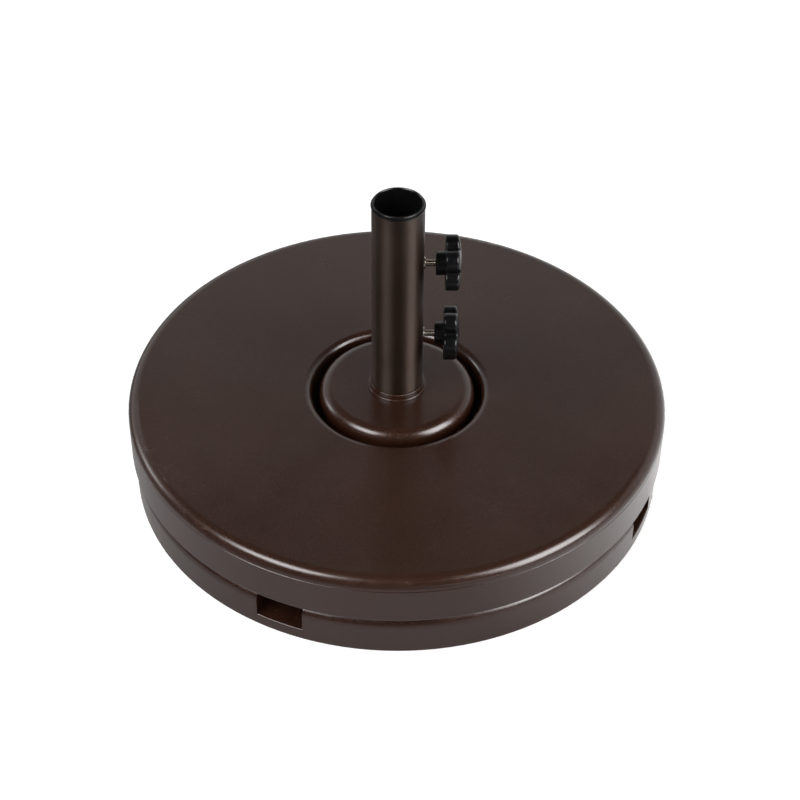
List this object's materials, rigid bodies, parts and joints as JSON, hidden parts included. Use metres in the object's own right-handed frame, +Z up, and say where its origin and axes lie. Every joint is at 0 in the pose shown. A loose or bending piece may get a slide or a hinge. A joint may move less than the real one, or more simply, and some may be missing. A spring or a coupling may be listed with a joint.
{
  "type": "parasol base",
  "caption": "Round two-piece weight base for a parasol: a concrete-filled base with hub and stem, a lift-off ring weight, and clamp knobs on the stem.",
  "frame": {"origin": "on the stem's axis at floor level, under the centre of the base", "axes": "+Z up along the stem; the hand pockets lie on the X and Y axes; the clamp knobs point outwards 24.2 degrees from +X towards +Y"},
  "size_m": [0.61, 0.61, 0.367],
  "materials": {
    "bronze_paint": "satin",
    "stem_paint": "satin",
    "grip_plastic": "satin",
    "black_plastic": "satin",
    "zinc_plate": "satin",
    "plain_steel": "satin",
    "concrete": "matte",
    "rubber": "matte"
  },
  "bodies": {
    "base": {"base_shell": "bronze_paint", "base_concrete": "concrete", "base_bottom_plate": "bronze_paint", "hand_pocket_1": "bronze_paint", "hand_pocket_2": "bronze_paint", "hand_pocket_3": "bronze_paint", "hand_pocket_4": "bronze_paint", "hub_cup": "bronze_paint", "socket_tube": "bronze_paint", "collar_ring": "bronze_paint", "socket_floor": "plain_steel", "foot_pads": "rubber", "stem_tube": "stem_paint", "stem_end_plug": "plain_steel", "stem_bolt": "zinc_plate", "stem_bolt_washer": "zinc_plate", "stem_liner": "black_plastic", "upper_bush": "zinc_plate", "lower_bush": "zinc_plate"},
    "ring": {"ring_cap": "bronze_paint", "ring_band": "bronze_paint", "ring_inner_wall": "bronze_paint", "ring_bottom_plate": "bronze_paint", "ring_concrete": "concrete", "ring_pads": "rubber"},
    "upper_screw": {"upper_insert": "zinc_plate"},
    "upper_knob": {"upper_stud": "zinc_plate", "upper_grip": "grip_plastic"},
    "lower_screw": {"lower_insert": "zinc_plate"},
    "lower_knob": {"lower_stud": "zinc_plate", "lower_grip": "grip_plastic"}
  },
  "joints": [
    {"name": "ring_lift", "type": "slide", "parent": "base", "child": "ring", "axis": [0, 0, 1], "range_m": [0, 0.33]},
    {"name": "upper_screw_feed", "type": "slide", "parent": "base", "child": "upper_screw", "axis": [0.9121, 0.4099, 0], "range_m": [-0.0107, 0.003]},
    {"name": "upper_knob_turn", "type": "hinge", "parent": "upper_screw", "child": "upper_knob", "pos_m": [0.04561, 0.0205, 0.2873], "axis": [0.9121, 0.4099, 0], "range_deg": [-3060, 850]},
    {"name": "lower_screw_feed", "type": "slide", "parent": "base", "child": "lower_screw", "axis": [0.9121, 0.4099, 0], "range_m": [-0.0107, 0.003]},
    {"name": "lower_knob_turn", "type": "hinge", "parent": "lower_screw", "child": "lower_knob", "pos_m": [0.04561, 0.0205, 0.1895], "axis": [0.9121, 0.4099, 0], "range_deg": [-3060, 850]}
  ],
  "couplings": [
    {"joint": "upper_screw_feed", "follows": "upper_knob_turn", "m_per_rad": 0.00019894},
    {"joint": "lower_screw_feed", "follows": "lower_knob_turn", "m_per_rad": 0.00019894}
  ]
}
